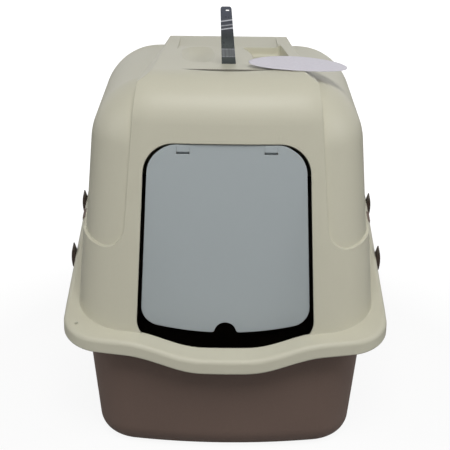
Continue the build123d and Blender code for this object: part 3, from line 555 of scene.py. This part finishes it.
def punch(item, centre, half_x, half_z):
    """Cut a rounded slot through a piece from front to back, then drop the cutter."""
    ring = rounded_rectangle(half_x, half_z, min(half_x, half_z) * ROUND_END, STRAP_ARC_STEPS)
    depth = np.array([0.01, -0.01])
    grid = (len(depth), len(ring))
    points = np.stack([np.broadcast_to(ring[None, :, 0] + centre[0], grid),
                       np.broadcast_to(depth[:, None] + centre[1], grid),
                       np.broadcast_to(ring[None, :, 1] + centre[2], grid)], axis=-1)
    cutter = grid_object("cutter", points, True, BOTH_ENDS, item.data.materials[0])
    hole = item.modifiers.new("hole", "BOOLEAN")
    hole.operation = "DIFFERENCE"
    hole.object = cutter
    seen = item.evaluated_get(bpy.context.evaluated_depsgraph_get())
    mesh = bpy.data.meshes.new_from_object(seen)
    item.modifiers.clear()
    item.data = mesh
    bpy.data.objects.remove(cutter)


strap = grid_object("lift_strap_band", strap_points(), True, BOTH_ENDS, strap_material())
punch(strap, STRAP_FOOT + HOLE_PLACE, *HOLE_HALF)
smooth(strap, angle=50.0)
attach(strap, "strap")
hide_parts("lift_strap")
print("strap faces", len(strap.data.polygons))

# %% [markdown]
# ## Oval card
# A bare oval card lies on the right of the roof. Coated card is stiff but never
# flat: this one bows along its length, so that both ends hang a little. It is a
# disc of rings and spokes, bent by a formula and given its thickness by a
# Solidify modifier.

# %% Oval card
ROOF_HEIGHT = 0.450
CARD_FRONT = np.array([0.082, -0.156])
CARD_HALF = (0.058, 0.031)
CARD_REST = 0.084
CARD_TILT = radians(7.0)
CARD_ROLL = radians(2.7)
CARD_THICK = 0.0005
CARD_DROOP = 0.0016
CARD_CLEAR = 0.0009
FIRST_RING = 0.02


def card_points(rings=24, spokes=96):
    """Rings of an ellipse: x = a r cos t and v = b (1 + r sin t), which runs back along the
    tilted card from its front edge. The height is the roof's at that edge, plus v times the
    sine of the pitch, less the droop times (x / a) squared, and less the distance to the
    right of the resting point times tan(roll)."""
    r = np.linspace(FIRST_RING, 1.0, rings)[:, None]
    t = np.linspace(0.0, 2 * np.pi, spokes, endpoint=False)[None, :]
    x = CARD_HALF[0] * r * np.cos(t)
    v = CARD_HALF[1] * (1.0 + r * np.sin(t))
    pitch = CARD_TILT - ROOF_PITCH
    y = CARD_FRONT[1] + v * np.cos(pitch)
    roof = ROOF_HEIGHT - CARD_FRONT[1] * np.tan(ROOF_PITCH) + CARD_CLEAR
    across = x + CARD_FRONT[0]
    z = roof + v * np.sin(pitch) - CARD_DROOP * (x / CARD_HALF[0]) ** 2
    z = z - (across - CARD_REST) * np.tan(CARD_ROLL)
    return np.stack([across, y, z], axis=-1)


def card_material():
    """Coated card: a pale lilac white with faint fibres and a soft sheen."""
    material, tree = blank_material("coated_card")
    place = add(tree, "ShaderNodeTexCoord").outputs["Object"]
    stretch = add(tree, "ShaderNodeMapping", {"Vector": place, "Scale": (1.0, 3.0, 1.0)})
    fibre = add(tree, "ShaderNodeTexNoise", {"Vector": stretch.outputs[0], "Scale": 260.0,
                                             "Detail": 5.0})
    tone = add(tree, "ShaderNodeValToRGB", {"Fac": fibre.outputs["Fac"]})
    tone.color_ramp.elements[0].position = 0.3
    tone.color_ramp.elements[0].color = linear(212, 208, 218)
    tone.color_ramp.elements[1].position = 0.7
    tone.color_ramp.elements[1].color = linear(222, 219, 227)
    bump = add(tree, "ShaderNodeBump", {"Height": fibre.outputs["Fac"], "Strength": 0.15,
                                        "Distance": 0.0001})
    surface = add(tree, "ShaderNodeBsdfPrincipled",
                  {"Base Color": tone.outputs["Color"], "Roughness": 0.45,
                   "Normal": bump.outputs[0]})
    add(tree, "ShaderNodeOutputMaterial", {"Surface": surface.outputs[0]})
    return material


card = grid_object("oval_card", card_points(), True, FIRST_END, card_material())
thick = card.modifiers.new("thickness", "SOLIDIFY")
thick.thickness = CARD_THICK
thick.offset = 1.0
smooth(card)
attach(card, "hood")
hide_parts("swing_tag")

# %% [markdown]
# ## Floor, world and lamps
# The box is shown on white. The floor is a large pale sheet that still takes the
# box's shadow, and it is nearly white to the camera by way of the Light Path
# node, without any more light on the box itself. A broad lamp high in front does
# most of the work. A weak one low in front opens the shade under the flange, and
# one at each side gives the drafted walls their tone.

# %% Floor, world and lamps
FLOOR_HALF = 6.0
FLOOR_GREY = 0.45
FLOOR_GLOW = 1.14
GLOW_NEAR = (0.35, 0.8)
GLOW_FAR = (0.9, 1.0)
WORLD_LEVEL = 0.04
LAMPS = (("front_lamp", (0.1, -1.95, 2.7), (0.0, 0.0, 0.30), 1.4, 54.0),
         ("low_lamp", (0.0, -2.4, 0.95), (0.0, 0.0, 0.2), 1.8, 6.0),
         ("side_lamp", (2.4, -0.6, 1.4), (0.0, 0.0, 0.25), 1.2, 17.0),
         ("left_lamp", (-2.4, -0.6, 1.4), (0.0, 0.0, 0.25), 1.2, 12.0))


def build_floor():
    """A white sheet to the camera, and to the light a grey one that takes the shadow."""
    half = FLOOR_HALF
    mesh = bpy.data.meshes.new("floor")
    mesh.from_pydata([(-half, -half, 0), (half, -half, 0), (half, half, 0), (-half, half, 0)],
                     [], [(0, 1, 2, 3)])
    floor = bpy.data.objects.new("floor", mesh)
    scene.collection.objects.link(floor)
    material, tree = blank_material("floor_sheet")
    path = add(tree, "ShaderNodeLightPath")
    diffuse = add(tree, "ShaderNodeBsdfDiffuse", {"Color": (*[FLOOR_GREY] * 3, 1.0)})
    glow = add(tree, "ShaderNodeEmission", {"Color": (1, 1, 1, 1), "Strength": FLOOR_GLOW})
    place = add(tree, "ShaderNodeTexCoord").outputs["Object"]
    away = add(tree, "ShaderNodeVectorMath", {0: place}, operation="LENGTH").outputs["Value"]
    glowing = add(tree, "ShaderNodeMapRange",
                  {"Value": away, "From Min": GLOW_NEAR[0], "From Max": GLOW_FAR[0],
                   "To Min": GLOW_NEAR[1], "To Max": GLOW_FAR[1]}).outputs[0]
    share = math(tree, "MULTIPLY", path.outputs["Is Camera Ray"], glowing)
    mix = add(tree, "ShaderNodeMixShader", {"Fac": share})
    tree.links.new(diffuse.outputs[0], mix.inputs[1])
    tree.links.new(glow.outputs[0], mix.inputs[2])
    add(tree, "ShaderNodeOutputMaterial", {"Surface": mix.outputs[0]})
    mesh.materials.append(material)


def build_world(level):
    """An even grey world of one level, which the camera and reflections see as white."""
    world = bpy.data.worlds.new("studio")
    world.use_nodes = True
    scene.world = world
    tree = world.node_tree
    tree.nodes.clear()
    path = add(tree, "ShaderNodeLightPath")
    seen = math(tree, "MAXIMUM", path.outputs["Is Camera Ray"],
                math(tree, "MAXIMUM", path.outputs["Is Glossy Ray"],
                     path.outputs["Is Transmission Ray"]))
    strength = math(tree, "ADD", level, math(tree, "MULTIPLY", seen, 1.0 - level))
    light = add(tree, "ShaderNodeBackground", {"Color": (1, 1, 1, 1), "Strength": strength})
    add(tree, "ShaderNodeOutputWorld", {"Surface": light.outputs[0]})


def lamp(name, place, aim, size, power):
    """A square area lamp at a place, aimed at a point."""
    data = bpy.data.lights.new(name, "AREA")
    data.shape = "SQUARE"
    data.size = size
    data.energy = power
    item = bpy.data.objects.new(name, data)
    scene.collection.objects.link(item)
    item.location = place
    way = np.array(aim) - np.array(place)
    item.rotation_euler = Vector(way.tolist()).to_track_quat("-Z", "Y").to_euler()


build_floor()
build_world(WORLD_LEVEL)
for settings in LAMPS:
    lamp(*settings)

scene.view_settings.view_transform = "Standard"
